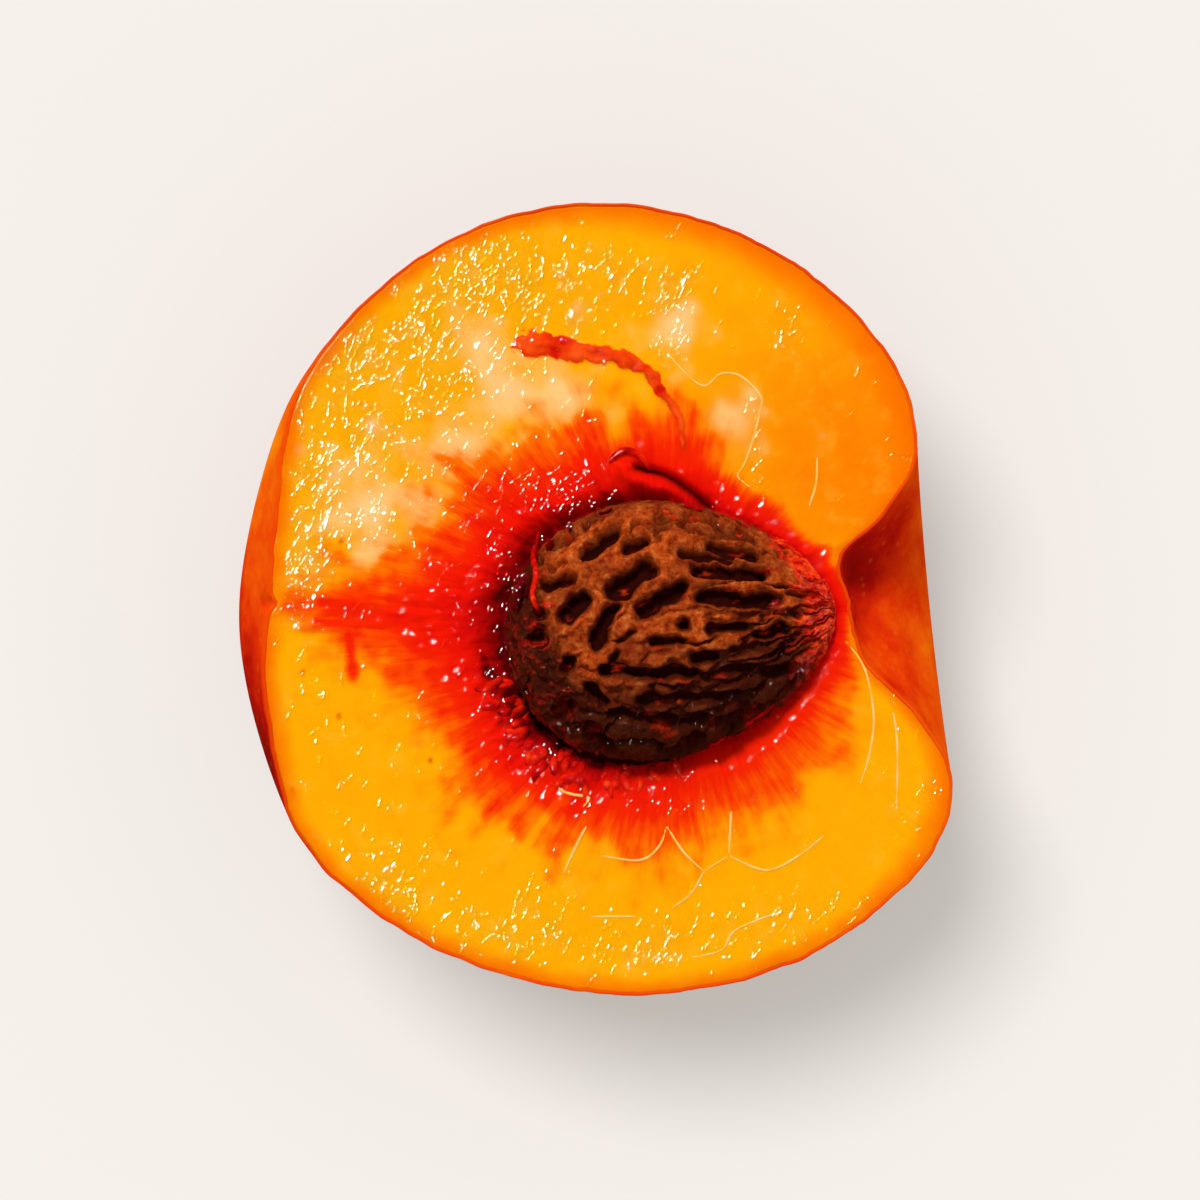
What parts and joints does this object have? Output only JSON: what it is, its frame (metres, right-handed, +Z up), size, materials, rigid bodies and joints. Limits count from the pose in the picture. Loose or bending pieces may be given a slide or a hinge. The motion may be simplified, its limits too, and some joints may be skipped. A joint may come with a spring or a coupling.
{
  "type": "peach half",
  "caption": "Half of a ripe peach resting on its rounded cheek, cut face up, with the furrowed stone still in its hollow.",
  "frame": {"origin": "under the middle of the half, on the surface that it rests on", "axes": "+Z up out of the cut face; +X along the fruit's own axis, from the blossom end to the stem cavity; +Y across the cut face, from the cheek with the larger shoulder to the other"},
  "size_m": [0.0638, 0.07, 0.0411],
  "materials": {
    "flesh": "wet, translucent, yellow-orange, stained red round the stone",
    "stone": "rough, furrowed, red-brown, damp low down"
  },
  "bodies": {
    "root": {"flesh": "flesh", "stone": "stone"}
  },
  "joints": []
}
